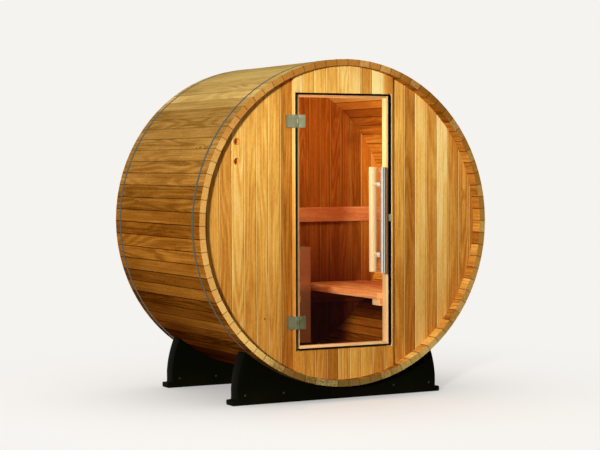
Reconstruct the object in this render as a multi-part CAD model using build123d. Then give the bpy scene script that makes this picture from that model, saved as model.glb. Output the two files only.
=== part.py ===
"""Barrel sauna for two: a staved cedar barrel on two black cradles, with a glass door in its front wall.

Millimetres, +Z up.  The origin lies on the ground under the middle of the barrel, the barrel's axis
runs along Y, and the door looks towards -Y.  X is the width, positive to the right of someone who
faces the door.
"""
from build123d import *
from math import cos, floor, radians, sin, sqrt, tan
import os

# ---------------------------------------------------------------- barrel
barrel_radius = 914.4            # over the joints of the staves, a 72 inch barrel
barrel_length = 1192.0
barrel_clearance = 80.6          # lowest stave above the ground
stave_thickness = 35.0
stave_count = 80
staves_per_segment = 5
stave_bevel = 1.8                # the small bevel along each outer edge of a stave
croze_depth = 10.0               # straight groove across each stave, inside, that holds an end wall
croze_clearance = 0.3            # an end wall's rim to the bottom of its groove

# ---------------------------------------------------------------- end walls
wall_recess = 72.0               # end of the staves to the outer face of an end wall
wall_thickness = 35.0
board_pitch = 74.0               # width shown by one tongue-and-groove board
board_bevel = 2.5                # half width and depth of the vee between two boards
right_board_offset = 14.5        # the right wall's first board is cut this narrow at the door frame
door_board_offset = 32.0         # first joint over and under the door, from the middle
back_middle_boards = 9           # boards in the middle panel of the back wall
vent_hole_diameter = 38.0
vent_edge_distance = 96.5        # middle of the vents to the staves beside the upper one
vent_rises = (454.5, 346.5)      # above the barrel's axis
cable_hole_diameter = 13.0
cable_hole_x = -487.0
cable_hole_drop = 519.5          # below the barrel's axis

# ---------------------------------------------------------------- door frame
frame_half_width = 318.0
frame_recess = 45.0              # end of the staves to the front of the door frame
frame_panel_thickness = 35.0     # boards over and under the door
post_width = 38.0
rebate_depth = 16.0              # step in the frame that the closed door lies in
rebate_lip = 9.0                 # width of the frame left beside the door
over_door_height = 153.2         # top edge of the rebate to the staves over it
under_door_height = 173.2        # lower edge of the rebate to the staves under it
head_height = 33.5
sill_height = 38.0
frame_fit = 0.3                  # curved end of a frame piece to the staves

# ---------------------------------------------------------------- door
door_gap = 5.0                   # round the closed door, inside the rebate
glass_thickness = 8.0
seal_cover = 1.0                 # rubber on each face of the glass
seal_width = 12.0
seal_lip = 3.0                   # the part of the seal's width beyond the edge of the glass

# ---------------------------------------------------------------- hinges
hinge_inset = 158.0              # from the top and lower edges of the rebate
hinge_leaf_height = 71.0
hinge_leaf_thickness = 5.0
hinge_pin_diameter = 5.0
hinge_knuckle_diameter = 10.0
hinge_pin_clearance = 0.2
hinge_axis_inset = 18.0          # from the outer side of the door frame
hinge_axis_forward = 7.0         # in front of the door frame's face
wall_leaf_width = 56.0
glass_leaf_width = 51.0
knuckle_gap = 0.5
knuckle_arm_clearance = 2.0      # a frame knuckle's arm to the closed door
clamp_gasket = 5.0               # inner clamp plate's distance inside the post

# ---------------------------------------------------------------- handle and catch
handle_edge_distance = 80.0      # middle of the handle to the door's free edge
handle_rise = 4.0                # middle of the handle above the middle of the door
handle_length = 598.0
handle_spacing = 398.0           # between its two stand-offs
outer_bar_diameter = 38.0
inner_bar_diameter = 44.0
outer_bar_reach = 48.0           # face of the glass to the middle of the outer bar
inner_bar_reach = 63.0
standoff_diameter = 19.0
catch_rise = 15.0                # above the middle of the door
catch_plate_width = 19.0
catch_plate_height = 40.0
catch_plate_thickness = 3.0

# ---------------------------------------------------------------- hoops
hoop_width = 19.0
hoop_thickness = 1.2
hoop_fit = 0.1
front_hoop_inset = 87.0          # end of the barrel to the middle of the hoop
rear_hoop_inset = 70.0

# ---------------------------------------------------------------- cradles
cradle_thickness = 89.0
front_cradle_gap = 11.5          # edge of the front hoop to the front cradle
rear_cradle_gap = 28.5           # edge of the rear hoop to the rear cradle
cradle_half_width = 640.0
cradle_foot_half_width = 669.0
cradle_foot_height = 30.0
cradle_shoulder_height = 90.0    # where the side starts to curve in
cradle_side_bow = 15.0           # how far the side has come in at half its curve's height
cradle_horn_half_width = 590.0
saddle_fit = 0.3

# ---------------------------------------------------------------- benches
bench_drop = 405.0               # top of the seat below the barrel's axis
bench_inner_edge = 245.0         # from the middle of the sauna
slat_width = 89.0
slat_thickness = 38.0
slat_gap = 12.0
slat_end_gap = 3.0
ledger_inset = 20.0              # front ledger's end behind the bench's edge
rail_height = 89.0
rail_thickness = 38.0
backrest_rise = 378.0            # lower edge of the backrest rail above the seat
rail_inner_edge = 240.0

# ---------------------------------------------------------------- heater
heater_width = 384.0
heater_depth = 285.0
heater_height = 595.0
heater_floor_gap = 130.7         # under the heater, down to the lowest staves
heater_sheet = 2.0
heater_tray_depth = 150.0        # depth of the open tray that holds the stones
heater_stone_gap = 4.0

# ---------------------------------------------------------------- worked out from the sizes above
axis_height = barrel_radius + barrel_clearance
stave_angle = 360.0 / stave_count
outer_apothem = barrel_radius * cos(radians(stave_angle / 2))
inner_apothem = outer_apothem - stave_thickness
floor_height = axis_height - inner_apothem
ceiling_height = axis_height + inner_apothem
front_end = -barrel_length / 2
rear_end = barrel_length / 2
wall_front = front_end + wall_recess
wall_inner = wall_front + wall_thickness
back_wall_inner = -wall_inner
frame_front = front_end + frame_recess
croze_radius = inner_apothem + croze_depth
frame_opening = frame_half_width - post_width
rebate_half_width = frame_half_width - rebate_lip
rebate_face = frame_front + rebate_depth
door_top = ceiling_height - over_door_height
door_bottom = floor_height + under_door_height
door_middle = (door_top + door_bottom) / 2
door_half_width = rebate_half_width - door_gap
leaf_top = door_top - door_gap
leaf_bottom = door_bottom + door_gap
seal_thickness = glass_thickness + 2 * seal_cover
glass_front = frame_front + seal_cover
glass_back = glass_front + glass_thickness
hinge_axis_x = -frame_half_width + hinge_axis_inset
hinge_axis_y = frame_front - hinge_axis_forward
hinge_heights = (door_top - hinge_inset, door_bottom + hinge_inset)

os.makedirs("parts", exist_ok=True)


def block(x_range, y_range, z_range):
    """A box between two values on each axis."""
    (x0, x1), (y0, y1), (z0, z1) = x_range, y_range, z_range
    return Pos((x0 + x1) / 2, (y0 + y1) / 2, (z0 + z1) / 2) * Box(abs(x1 - x0), abs(y1 - y0), abs(z1 - z0))


def along_y(radius, y0, y1, x=0.0, z=axis_height):
    """A round bar parallel to Y; with no centre given it is about the barrel's axis."""
    return Pos(x, (y0 + y1) / 2, z) * Rot(90, 0, 0) * Cylinder(radius, abs(y1 - y0))


def stave_prism(apothem, y0, y1):
    """A bar about the barrel's axis with one flat for each stave."""
    outline = RegularPolygon(apothem, stave_count, major_radius=False)
    return Pos(0, y1, axis_height) * Rot(90, 0, 0) * extrude(outline, y1 - y0)


def along_z(radius, z0, z1, x, y):
    """A round bar parallel to Z."""
    return Pos(x, y, (z0 + z1) / 2) * Cylinder(radius, z1 - z0)


def mirrored(shape):
    """The same piece, or the same loose pieces, on the other side of the sauna."""
    solids = [solid.mirror(Plane.YZ) for solid in shape.solids()]
    return solids[0] if len(solids) == 1 else Compound(children=solids)


def save(shape, name):
    export_step(shape, f"parts/{name}.step")


# ---------------------------------------------------------------- staves
def stave_segment(first_stave):
    """Some neighbouring staves, joined along their edges, with a vee at every joint outside."""
    outer, inner = [], []
    half_turn = tan(radians(stave_angle / 2))
    for i in range(staves_per_segment):
        middle = radians((first_stave + i + 0.5) * stave_angle)

        def corner(apothem, offset):
            return (
                cos(middle) * apothem - sin(middle) * offset,
                sin(middle) * apothem + cos(middle) * offset,
            )

        vee = outer_apothem - stave_bevel
        flat = outer_apothem * half_turn - stave_bevel
        if i == 0:
            outer.append(corner(vee, -vee * half_turn))
            inner.append(corner(inner_apothem, -inner_apothem * half_turn))
        outer += [corner(outer_apothem, -flat), corner(outer_apothem, flat), corner(vee, vee * half_turn)]
        inner.append(corner(inner_apothem, inner_apothem * half_turn))
    profile = make_face(Polyline(*outer, *reversed(inner), close=True))
    segment = Pos(0, rear_end, axis_height) * Rot(90, 0, 0) * extrude(profile, barrel_length)
    for groove_start in (wall_front, back_wall_inner):
        segment -= stave_prism(croze_radius, groove_start, groove_start + wall_thickness)
    return segment


# ---------------------------------------------------------------- boarded panels
def boarded(x0, x1, first_joint, y_outer, y_inner, z0, z1):
    """Vertical boards side by side as one slab, with a vee at each joint on both faces."""
    low, high = min(y_outer, y_inner), max(y_outer, y_inner)
    joints = []
    x = first_joint + board_pitch * floor((x0 - first_joint) / board_pitch)
    while x < x1 - board_bevel:
        if x > x0 + board_bevel:
            joints.append(x)
        x += board_pitch
    lower, upper = [(x0, low)], [(x0, high)]
    for x in joints:
        lower += [(x - board_bevel, low), (x, low + board_bevel), (x + board_bevel, low)]
        upper += [(x - board_bevel, high), (x, high - board_bevel), (x + board_bevel, high)]
    lower.append((x1, low))
    upper.append((x1, high))
    plan = make_face(Polyline(*lower, *reversed(upper), close=True))
    return Pos(0, 0, z0) * extrude(plan, z1 - z0)


def wall_panel(x0, x1, first_joint, y_outer, y_inner):
    """A part of an end wall whose round edge stands in the croze of the staves."""
    radius = croze_radius - croze_clearance
    slab = boarded(x0, x1, first_joint, y_outer, y_inner, axis_height - radius, axis_height + radius)
    return slab & along_y(radius, y_outer, y_inner)


def fitted(shape, y0, y1):
    """A piece cut to lie inside the staves."""
    return shape & along_y(inner_apothem - frame_fit, y0, y1)


barrel_bottom = axis_height - barrel_radius
barrel_top = axis_height + barrel_radius

segment_count = stave_count // staves_per_segment
for segment in range(segment_count):
    save(stave_segment(segment * staves_per_segment), f"barrel_staves_{segment + 1:02d}")

# ---------------------------------------------------------------- front wall
front_wall_left = wall_panel(-croze_radius, -frame_half_width, -frame_half_width, wall_front, wall_inner)
vent_hole_x = vent_edge_distance - sqrt(inner_apothem**2 - vent_rises[0] ** 2)
for rise in vent_rises:
    front_wall_left -= along_y(vent_hole_diameter / 2, wall_front, wall_inner, vent_hole_x, axis_height + rise)
cable_hole_height = axis_height - cable_hole_drop
front_wall_left -= along_y(cable_hole_diameter / 2, wall_front, wall_inner, cable_hole_x, cable_hole_height)
save(front_wall_left, "front_wall_left")

right_first_joint = frame_half_width + right_board_offset
front_wall_right = wall_panel(frame_half_width, croze_radius, right_first_joint, wall_front, wall_inner)
save(front_wall_right, "front_wall_right")


def door_post(side):
    """A full-height post of the door frame, rebated for the door over the door's height."""
    xs = sorted((side * frame_opening, side * frame_half_width))
    post = block(xs, (frame_front, wall_inner), (barrel_bottom, barrel_top))
    rebate_xs = sorted((side * frame_opening, side * rebate_half_width))
    post -= block(rebate_xs, (frame_front, rebate_face), (door_bottom, door_top))
    return fitted(post, frame_front, wall_inner)


save(door_post(-1), "door_post_left")
save(door_post(1), "door_post_right")

panel_back = frame_front + frame_panel_thickness
over_door = boarded(-frame_opening, frame_opening, door_board_offset, frame_front, panel_back, door_top, barrel_top)
save(fitted(over_door, frame_front, panel_back), "front_wall_over_door")
under_door = boarded(-frame_opening, frame_opening, door_board_offset, frame_front, panel_back, barrel_bottom, door_bottom)
save(fitted(under_door, frame_front, panel_back), "front_wall_under_door")

opening_xs = (-frame_opening, frame_opening)
save(block(opening_xs, (rebate_face, wall_inner), (door_top - head_height, door_top)), "door_head")
save(block(opening_xs, (rebate_face, wall_inner), (door_bottom, door_bottom + sill_height)), "door_sill")

# ---------------------------------------------------------------- back wall
back_split = back_middle_boards * board_pitch / 2
back_outer = rear_end - wall_recess
back_panels = {
    "back_wall_left": (-croze_radius, -back_split),
    "back_wall_middle": (-back_split, back_split),
    "back_wall_right": (back_split, croze_radius),
}
for name, (x0, x1) in back_panels.items():
    save(wall_panel(x0, x1, back_split, back_wall_inner, back_outer), name)

# ---------------------------------------------------------------- hoops
def hoop(middle_y):
    """A flat steel band drawn down on the staves, so that it bends a little at each joint."""
    inner_apothem_of_hoop = outer_apothem + hoop_fit
    y0, y1 = middle_y - hoop_width / 2, middle_y + hoop_width / 2
    return stave_prism(inner_apothem_of_hoop + hoop_thickness, y0, y1) - stave_prism(inner_apothem_of_hoop, y0, y1)


save(hoop(front_end + front_hoop_inset), "front_hoop")
save(hoop(rear_end - rear_hoop_inset), "rear_hoop")


# ---------------------------------------------------------------- cradles
def cradle(y0):
    """A saddle under the barrel: flat foot, sides that curve in, hollowed to the barrel's round."""
    saddle_radius = barrel_radius + saddle_fit
    horn_height = axis_height - sqrt(saddle_radius**2 - cradle_horn_half_width**2)
    half = cradle_half_width
    bend = (half - cradle_side_bow, (cradle_shoulder_height + horn_height) / 2)
    right_side = ThreePointArc((half, cradle_shoulder_height), bend, (cradle_horn_half_width, horn_height))
    saddle = ThreePointArc(
        (cradle_horn_half_width, horn_height),
        (0, axis_height - saddle_radius),
        (-cradle_horn_half_width, horn_height),
    )
    left_side = ThreePointArc(
        (-cradle_horn_half_width, horn_height), (-bend[0], bend[1]), (-half, cradle_shoulder_height)
    )
    base = Polyline(
        (-half, cradle_shoulder_height),
        (-half, cradle_foot_height),
        (-cradle_foot_half_width, cradle_foot_height),
        (-cradle_foot_half_width, 0),
        (cradle_foot_half_width, 0),
        (cradle_foot_half_width, cradle_foot_height),
        (half, cradle_foot_height),
        (half, cradle_shoulder_height),
    )
    outline = make_face(Wire([*right_side.edges(), *saddle.edges(), *left_side.edges(), *base.edges()]))
    return Pos(0, y0 + cradle_thickness, 0) * Rot(90, 0, 0) * extrude(outline, cradle_thickness)


front_cradle_inset = front_hoop_inset + hoop_width / 2 + front_cradle_gap
rear_cradle_inset = rear_hoop_inset + hoop_width / 2 + rear_cradle_gap
save(cradle(front_end + front_cradle_inset), "front_cradle")
save(cradle(rear_end - rear_cradle_inset - cradle_thickness), "rear_cradle")

# ---------------------------------------------------------------- benches
bench_top = axis_height - bench_drop
slat_bottom = bench_top - slat_thickness
slat_pitch = slat_width + slat_gap
bench_reach = sqrt(inner_apothem**2 - (axis_height - slat_bottom) ** 2)    # to the staves, from the middle
slats_per_bench = floor((bench_reach + slat_gap - bench_inner_edge) / slat_pitch)
backrest_bottom = bench_top + backrest_rise
slat_ys = (wall_inner + slat_end_gap, back_wall_inner - slat_end_gap)


def bench_slats():
    """The seat boards of the right bench, apart from each other."""
    boards = []
    for i in range(slats_per_bench):
        x0 = bench_inner_edge + i * slat_pitch
        boards.append(block((x0, x0 + slat_width), slat_ys, (slat_bottom, bench_top)))
    return Compound(children=boards)


def to_staves(x0, y_range, z_range):
    """A board from x0 out to the staves on the right, its end cut to their curve."""
    return fitted(block((x0, barrel_radius), y_range, z_range), *y_range)


right_pieces = {
    "bench_{}": bench_slats(),
    "bench_front_ledger_{}": to_staves(
        bench_inner_edge + ledger_inset,
        (wall_inner, wall_inner + rail_height),
        (slat_bottom - rail_thickness, slat_bottom),
    ),
    "bench_back_ledger_{}": to_staves(
        bench_inner_edge,
        (back_wall_inner - rail_thickness, back_wall_inner),
        (slat_bottom - rail_height, slat_bottom),
    ),
    "backrest_rail_{}": to_staves(
        rail_inner_edge,
        (back_wall_inner - rail_thickness, back_wall_inner),
        (backrest_bottom, backrest_bottom + rail_height),
    ),
}
for name, piece in right_pieces.items():
    save(piece, name.format("right"))
    save(mirrored(piece), name.format("left"))

# ---------------------------------------------------------------- heater
heater_xs = (-heater_width / 2, heater_width / 2)
heater_ys = (back_wall_inner - heater_depth, back_wall_inner)
heater_bottom = floor_height + heater_floor_gap
heater_top = heater_bottom + heater_height
tray_floor = heater_top - heater_tray_depth
tray_xs = (heater_xs[0] + heater_sheet, heater_xs[1] - heater_sheet)
tray_ys = (heater_ys[0] + heater_sheet, heater_ys[1] - heater_sheet)
heater_body = block(heater_xs, heater_ys, (heater_bottom, heater_top))
heater_body -= block(tray_xs, tray_ys, (tray_floor, heater_top))
heater_body -= block(tray_xs, tray_ys, (heater_bottom, tray_floor - heater_sheet))
save(heater_body, "heater_body")
stone_xs = (tray_xs[0] + heater_stone_gap, tray_xs[1] - heater_stone_gap)
stone_ys = (tray_ys[0] + heater_stone_gap, tray_ys[1] - heater_stone_gap)
save(block(stone_xs, stone_ys, (tray_floor, heater_top - heater_stone_gap)), "heater_stones")

# ---------------------------------------------------------------- door leaf
leaf_xs = (-door_half_width, door_half_width)
leaf_ys = (frame_front, frame_front + seal_thickness)
glass = block(
    (leaf_xs[0] + seal_lip, leaf_xs[1] - seal_lip),
    (glass_front, glass_back),
    (leaf_bottom + seal_lip, leaf_top - seal_lip),
)
save(glass, "door_glass")

seal = block(leaf_xs, leaf_ys, (leaf_bottom, leaf_top))
seal -= block(
    (leaf_xs[0] + seal_width, leaf_xs[1] - seal_width),
    leaf_ys,
    (leaf_bottom + seal_width, leaf_top - seal_width),
)
seal -= glass
save(seal, "door_seal")


# ---------------------------------------------------------------- hinges
knuckle_radius = hinge_knuckle_diameter / 2
knuckle_height = hinge_leaf_height / 3
plate_front = frame_front - hinge_leaf_thickness
pin_hole_radius = hinge_pin_diameter / 2 + hinge_pin_clearance


def knuckle(z0, z1):
    return along_z(knuckle_radius, z0, z1, hinge_axis_x, hinge_axis_y)


def wall_leaf(height):
    """Leaf on the door frame: a plate with two knuckles and a foot back to the side wall."""
    z0, z1 = height - hinge_leaf_height / 2, height + hinge_leaf_height / 2
    x0 = hinge_axis_x - wall_leaf_width
    plate_end = hinge_axis_x - knuckle_radius - knuckle_gap
    leaf = block((x0, plate_end), (plate_front, frame_front), (z0, z1))
    leaf += block((x0, -frame_half_width), (frame_front, wall_front), (z0, z1))
    for k0, k1 in ((z0, z0 + knuckle_height), (z1 - knuckle_height, z1)):
        arm_ys = (hinge_axis_y - knuckle_radius, frame_front - knuckle_arm_clearance)
        leaf += knuckle(k0, k1)
        leaf += block((plate_end, hinge_axis_x), arm_ys, (k0, k1))
    bore = along_z(pin_hole_radius, z0, z1, hinge_axis_x, hinge_axis_y)
    return leaf - bore


def glass_leaf(height):
    """Leaf on the glass: a plate over the seal, let down to the glass beside it, with the middle knuckle."""
    z0, z1 = height - hinge_leaf_height / 2, height + hinge_leaf_height / 2
    plate_start = hinge_axis_x + knuckle_radius + knuckle_gap
    pad_start = -door_half_width + seal_width + knuckle_gap
    plate_end = hinge_axis_x + glass_leaf_width
    leaf = block((plate_start, plate_end), (plate_front, frame_front), (z0, z1))
    leaf += block((pad_start, plate_end), (plate_front, glass_front), (z0, z1))
    k0, k1 = z0 + knuckle_height + knuckle_gap, z1 - knuckle_height - knuckle_gap
    leaf += knuckle(k0, k1)
    arm_ys = (hinge_axis_y - knuckle_radius, frame_front - knuckle_gap)
    leaf += block((hinge_axis_x, plate_start + knuckle_gap), arm_ys, (k0, k1))
    return leaf - along_z(pin_hole_radius, z0, z1, hinge_axis_x, hinge_axis_y)


def clamp_plate(height):
    """Plate on the inside of the glass, opposite the hinge leaf."""
    z0, z1 = height - hinge_leaf_height / 2, height + hinge_leaf_height / 2
    x0, x1 = -frame_opening + clamp_gasket, hinge_axis_x + glass_leaf_width
    return block((x0, x1), (glass_back, glass_back + hinge_leaf_thickness), (z0, z1))


def hinge_pin(height):
    """Pin through the knuckles of one hinge."""
    half = hinge_leaf_height / 2
    return along_z(hinge_pin_diameter / 2, height - half, height + half, hinge_axis_x, hinge_axis_y)


save(Compound(children=[wall_leaf(h) for h in hinge_heights]), "hinge_frame_leaves")
save(Compound(children=[glass_leaf(h) for h in hinge_heights]), "hinge_glass_leaves")
save(Compound(children=[clamp_plate(h) for h in hinge_heights]), "hinge_clamp_plates")
save(Compound(children=[hinge_pin(h) for h in hinge_heights]), "hinge_pins")

# ---------------------------------------------------------------- handle
handle_x = door_half_width - handle_edge_distance
handle_height = door_middle + handle_rise
handle_zs = (handle_height - handle_length / 2, handle_height + handle_length / 2)
bars = {
    "door_handle_outside": (outer_bar_diameter / 2, glass_front, glass_front - outer_bar_reach),
    "door_handle_inside": (inner_bar_diameter / 2, glass_back, glass_back + inner_bar_reach),
}
standoffs = []
for name, (radius, glass_face, bar_y) in bars.items():
    bar = along_z(radius, *handle_zs, handle_x, bar_y)
    save(bar, name)
    for z in (handle_height - handle_spacing / 2, handle_height + handle_spacing / 2):
        standoffs.append(along_y(standoff_diameter / 2, *sorted((glass_face, bar_y)), handle_x, z) - bar)
save(Compound(children=standoffs), "door_handle_standoffs")

# ---------------------------------------------------------------- catch
catch_height = door_middle + catch_rise
catch = block(
    (door_half_width - catch_plate_width, door_half_width),
    (frame_front - catch_plate_thickness, frame_front),
    (catch_height - catch_plate_height / 2, catch_height + catch_plate_height / 2),
)
save(catch, "door_catch_plate")
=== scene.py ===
"""Looks of the barrel sauna, built round its CAD frame.

Laid out as an add-on.  Property groups hold the colours and sizes that someone may want to change,
one operator makes each group of pieces, and main() runs the operators in order.  Metres, +Z up, the
barrel's axis along Y and the door towards -Y.
"""
import random
from math import pi, radians, tau

import bmesh
import bpy
from bpy.props import FloatProperty, FloatVectorProperty, PointerProperty
from mathutils import Matrix, Vector, noise


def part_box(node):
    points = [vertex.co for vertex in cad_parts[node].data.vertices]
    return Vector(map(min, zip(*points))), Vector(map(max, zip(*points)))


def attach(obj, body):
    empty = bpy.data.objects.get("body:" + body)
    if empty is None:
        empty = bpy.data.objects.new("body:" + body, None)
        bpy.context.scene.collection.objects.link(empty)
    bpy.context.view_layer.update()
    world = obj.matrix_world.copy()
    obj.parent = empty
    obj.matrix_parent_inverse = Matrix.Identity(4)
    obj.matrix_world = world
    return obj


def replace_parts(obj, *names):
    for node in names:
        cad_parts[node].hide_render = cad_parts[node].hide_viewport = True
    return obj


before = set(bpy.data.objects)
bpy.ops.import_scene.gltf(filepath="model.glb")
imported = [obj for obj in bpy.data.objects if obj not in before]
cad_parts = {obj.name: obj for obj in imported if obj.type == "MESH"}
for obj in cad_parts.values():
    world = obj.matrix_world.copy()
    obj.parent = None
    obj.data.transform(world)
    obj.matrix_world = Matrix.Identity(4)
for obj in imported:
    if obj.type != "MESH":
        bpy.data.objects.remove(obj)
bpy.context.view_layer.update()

bl_info = {
    "name": "Barrel sauna",
    "version": (1, 0, 0),
    "blender": (4, 5, 0),
    "location": "View3D > Sidebar > Sauna",
    "description": "Finishes and small pieces of a cedar barrel sauna with a glass door",
    "category": "Object",
}

# ---------------------------------------------------------------- places taken from the CAD frame
stave_nodes = sorted(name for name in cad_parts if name.startswith("barrel_staves_"))
barrel_low = Vector([min(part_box(name)[0][axis] for name in stave_nodes) for axis in range(3)])
barrel_high = Vector([max(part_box(name)[1][axis] for name in stave_nodes) for axis in range(3)])
AXIS_HEIGHT = (barrel_low.z + barrel_high.z) / 2
BARREL_RADIUS = (barrel_high.x - barrel_low.x) / 2
MID_STAVE_RADIUS = BARREL_RADIUS - 0.02
END_FACE = barrel_high.y
ROOM_END = 0.5
STAVES = 80
BOARD_PITCH = 0.074
LEFT_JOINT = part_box("front_wall_left")[1].x
RIGHT_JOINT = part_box("front_wall_right")[0].x + 0.0145
DOOR_JOINT = 0.032
FRAME_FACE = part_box("door_post_left")[0].y


# ---------------------------------------------------------------- settings
def srgb(red, green, blue):
    """A colour given in 0-255 screen values, as the linear values that Blender works in."""
    def linear(value):
        value /= 255
        return value / 12.92 if value <= 0.04045 else ((value + 0.055) / 1.055) ** 2.4
    return (linear(red), linear(green), linear(blue))


def scaled(tint, factor):
    return tuple(factor * value for value in tint)


def grey(value):
    return (value, value, value)


def colour(name, description, default):
    return FloatVectorProperty(name=name, description=description, default=default, subtype="COLOR", size=3,
                               min=0, max=1)


def length(name, description, default):
    return FloatProperty(name=name, description=description, default=default, unit="LENGTH", min=0)


def angle(name, description, degrees):
    return FloatProperty(name=name, description=description, default=radians(degrees), subtype="ANGLE",
                         unit="ROTATION")


def power(name, description, default):
    return FloatProperty(name=name, description=description, default=default, unit="POWER", min=0)


class SaunaWood(bpy.types.PropertyGroup):
    """Colours of the oiled cedar and of the lighter wood."""
    darkest: colour("Darkest heartwood", "Cedar at tone 0", srgb(104, 52, 6))
    dark: colour("Dark heartwood", "Cedar at tone 0.25", srgb(156, 94, 25))
    middle: colour("Amber", "Cedar at tone 0.5", srgb(204, 135, 50))
    light: colour("Light amber", "Cedar at tone 0.75", srgb(242, 184, 84))
    palest: colour("Sapwood", "Cedar at tone 1", srgb(255, 228, 148))
    fresh_darkest: colour("Fresh cedar, darkest", "Cedar inside at tone 0", srgb(120, 58, 30))
    fresh_dark: colour("Fresh cedar, dark", "Cedar inside at tone 0.25", srgb(168, 94, 56))
    fresh_middle: colour("Fresh cedar, middle", "Cedar inside at tone 0.5", srgb(212, 136, 92))
    fresh_light: colour("Fresh cedar, light", "Cedar inside at tone 0.75", srgb(244, 188, 140))
    fresh_palest: colour("Fresh cedar, palest", "Cedar inside at tone 1", srgb(255, 236, 204))
    knot: colour("Knot", "Heart of a knot", srgb(70, 30, 8))
    # bleached cedar of the upper staves: partly real sun bleaching, partly a painted sheen of sky light
    bleach_and_sheen: colour("Sunned wood", "Light cedar on the upper staves", srgb(240, 214, 138))
    bleach_and_sheen_dark: colour("Sunned wood, dark", "Dark cedar on the upper staves", srgb(120, 90, 28))
    handle: colour("Handle wood", "Turned bar inside the door", srgb(255, 244, 224))


class SaunaFittings(bpy.types.PropertyGroup):
    """Colours and sizes of the metal, glass, rubber and black parts."""
    steel: colour("Hinge steel", "Brushed stainless steel", srgb(196, 196, 152))
    chrome: colour("Polished steel", "Bar outside the door", srgb(238, 234, 222))
    hoop: colour("Hoop steel", "Weathered bands round the staves", srgb(74, 88, 78))
    rubber: colour("Door seal", "Black rubber", srgb(9, 9, 7))
    cradle: colour("Cradle", "Black paint on the cradles", srgb(8, 8, 3))
    stove: colour("Stove sheet", "Polished steel sheet", srgb(214, 170, 146))
    stone: colour("Stove stone", "Olivine stones", srgb(112, 110, 104))
    glass: colour("Door glass", "Bronze tint", srgb(250, 240, 222))
    screw_radius: length("Screw radius", "Heads of the hinge screws", 0.0042)
    leaf_height: length("Hinge height", "Height of a hinge leaf", 0.071)
    rosette_radius: length("Rosette radius", "Ring where a stand-off meets the glass", 0.0145)
    bolt_radius: length("Bolt radius", "Heads of the cradle bolts", 0.006)


class SaunaStage(bpy.types.PropertyGroup):
    """Camera, floor and light."""
    camera_place: FloatVectorProperty(name="Camera", description="Place of the camera", subtype="XYZ_LENGTH",
                                      default=(-4.7144, -8.9271, 1.3208))
    camera_turn: angle("Turn", "Turn from straight at the door", 27.884)
    camera_tilt: angle("Tilt", "Tilt up from level", -2.004)
    camera_roll: angle("Roll", "Turn about the line of sight", -0.2)
    focal_length: FloatProperty(name="Lens", description="Focal length in millimetres", unit="CAMERA",
                                default=102.905, min=1)
    background: colour("Background", "Pale floor and backdrop", srgb(245, 243, 239))
    key_power: power("Key light", "Power of the large soft lamp", 1420)
    room_power: power("Room light", "Power of the lamp inside the sauna", 11.5)
    room_colour: colour("Room light colour", "Warm light inside the sauna", (1.0, 0.73, 0.42))
    sky_strength: FloatProperty(name="Sky", description="Strength of the light from all round", default=0.45,
                                min=0)


# ---------------------------------------------------------------- shader wiring
class Value:
    """A node's output, which can be added, multiplied and compared as a number can."""

    def __init__(self, tree, socket):
        self.tree, self.socket = tree, socket

    def do(self, operation, other=0.0):
        """A Math node's result."""
        return self.tree.value("Math", {0: self, 1: other}, operation=operation)

    def __add__(self, other):
        return self.do("ADD", other)

    def __sub__(self, other):
        return self.do("SUBTRACT", other)

    def __rsub__(self, other):
        return self * -1.0 + other

    def __mul__(self, other):
        return self.do("MULTIPLY", other)

    def __truediv__(self, other):
        return self.do("DIVIDE", other)

    def __gt__(self, other):
        return self.do("GREATER_THAN", other)

    def __lt__(self, other):
        return self.do("LESS_THAN", other)

    def __abs__(self):
        return self.do("ABSOLUTE")

    def vector(self, operation, other=(0, 0, 0), out=0):
        """A Vector Math node's result."""
        return self.tree.value("VectorMath", {0: self, 1: other}, out, operation=operation)

    def stretch(self, factors):
        return self.vector("MULTIPLY", factors)

    def split(self):
        """The vector's X, Y and Z by name."""
        return self.tree.values("SeparateXYZ", {0: self})

    def remap(self, low, high, to_low=0.0, to_high=1.0, smooth=False):
        """Stretched from one range to another, and held at its ends."""
        return self.tree.value("MapRange", {"Value": self, "From Min": low, "From Max": high, "To Min": to_low,
                                            "To Max": to_high},
                               interpolation_type="SMOOTHSTEP" if smooth else "LINEAR", clamp=True)

    def bump(self, strength, distance):
        return self.tree.value("Bump", {"Strength": strength, "Distance": distance, "Height": self})


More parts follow.
